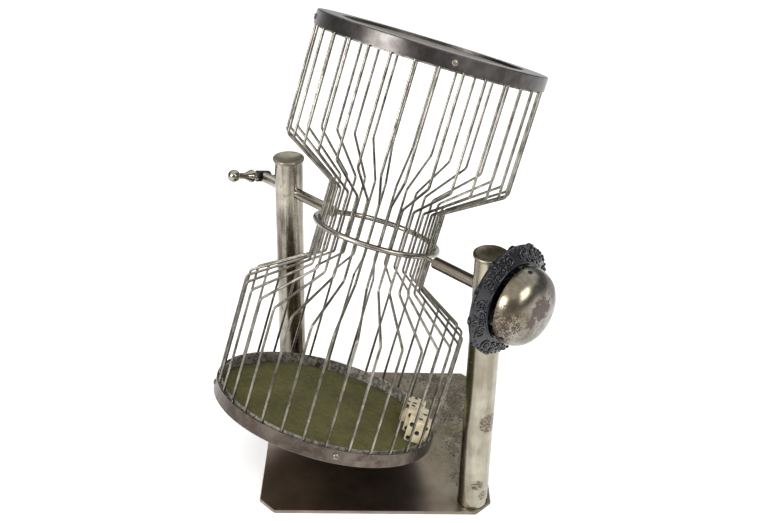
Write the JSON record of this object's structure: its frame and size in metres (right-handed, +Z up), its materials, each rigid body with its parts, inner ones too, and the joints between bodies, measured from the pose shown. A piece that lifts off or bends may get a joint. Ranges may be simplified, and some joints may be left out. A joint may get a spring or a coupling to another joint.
{
  "type": "chuck-a-luck dice cage",
  "caption": "Hourglass wire dice cage with felt-lined metal ends, pivoting on a crank axle between two posts on a square base, with a gong bell that rings as it is turned.",
  "frame": {"origin": "centre of the base plate's underside, on the table", "axes": "+X along the axle from the crank post to the bell post, +Z up, +Y towards the side the cage's top leans to"},
  "size_m": [0.3347, 0.3054, 0.4091],
  "materials": {
    "plate_nickel": "aged nickel plating, pitted",
    "post_nickel": "aged nickel plating, streaked",
    "cage_nickel": "aged nickel plating, tarnished",
    "galvanised": "mottled grey zinc",
    "bright_steel": "worn bright",
    "dark_steel": "blackened",
    "inner_steel": "plain",
    "black_casting": "black gloss enamel",
    "gong_nickel": "nickel plating, pitted and worn",
    "felt": "olive green felt",
    "ivory": "aged ivory plastic with dark inked pips"
  },
  "bodies": {
    "stand": {"base_plate": "plate_nickel", "crank_post": "post_nickel", "bell_post": "post_nickel", "crank_post_cap": "post_nickel", "bell_post_cap": "post_nickel", "crank_post_plug": "inner_steel", "bell_post_plug": "inner_steel", "base_screws": "inner_steel", "crank_bearing": "inner_steel", "bearing_sleeve": "bright_steel", "bell_saddle": "black_casting", "bell_rosette": "black_casting", "bell_nut": "dark_steel", "gong": "gong_nickel", "gong_screws": "dark_steel"},
    "cage": {"waist_ring": "cage_nickel", "upper_cap_ring": "cage_nickel", "lower_cap_ring": "cage_nickel", "upper_hoop": "galvanised", "lower_hoop": "galvanised", "upper_head": "cage_nickel", "lower_head": "cage_nickel", "upper_felt": "felt", "lower_felt": "felt", "ring_screws": "bright_steel", "ring_nuts": "inner_steel", "crank_axle": "bright_steel", "crank_hub": "dark_steel", "crank_lever": "bright_steel", "crank_tail_rod": "bright_steel", "bell_spindle": "bright_steel", "striker_hub": "inner_steel", "wire_pair_01": "cage_nickel", "wire_pair_02": "cage_nickel", "wire_pair_03": "cage_nickel", "wire_pair_04": "cage_nickel", "wire_pair_05": "cage_nickel", "wire_pair_06": "cage_nickel", "wire_pair_07": "cage_nickel", "wire_pair_08": "cage_nickel", "wire_pair_09": "cage_nickel", "wire_pair_10": "cage_nickel", "wire_pair_11": "cage_nickel", "wire_pair_12": "cage_nickel", "wire_pair_13": "cage_nickel", "wire_pair_14": "cage_nickel", "wire_pair_15": "cage_nickel", "wire_pair_16": "cage_nickel"},
    "clapper_a": {"clapper_a": "inner_steel"},
    "clapper_b": {"clapper_b": "inner_steel"},
    "die_1": {"die_1": "ivory"},
    "die_2": {"die_2": "ivory"},
    "die_3": {"die_3": "ivory"}
  },
  "joints": [
    {"name": "cage_spin", "type": "hinge", "parent": "stand", "child": "cage", "pos_m": [0, 0, 0.2175], "axis": [1, 0, 0], "continuous": true},
    {"name": "clapper_a_swing", "type": "hinge", "parent": "cage", "child": "clapper_a", "pos_m": [0.1516, 0.0125, 0.2175], "axis": [1, 0, 0], "range_deg": [-35, 60]},
    {"name": "clapper_b_swing", "type": "hinge", "parent": "cage", "child": "clapper_b", "pos_m": [0.1516, -0.0125, 0.2175], "axis": [1, 0, 0], "range_deg": [-60, 35]},
    {"name": "die_1_slide", "type": "slide", "parent": "cage", "child": "die_1", "axis": [-0.3384, 0.0607, 0.939], "range_m": [0, 0.3433]},
    {"name": "die_2_slide", "type": "slide", "parent": "cage", "child": "die_2", "axis": [-0.3384, 0.0607, 0.939], "range_m": [0, 0.3433]},
    {"name": "die_3_slide", "type": "slide", "parent": "cage", "child": "die_3", "axis": [-0.3384, 0.0607, 0.939], "range_m": [0, 0.3433]}
  ]
}
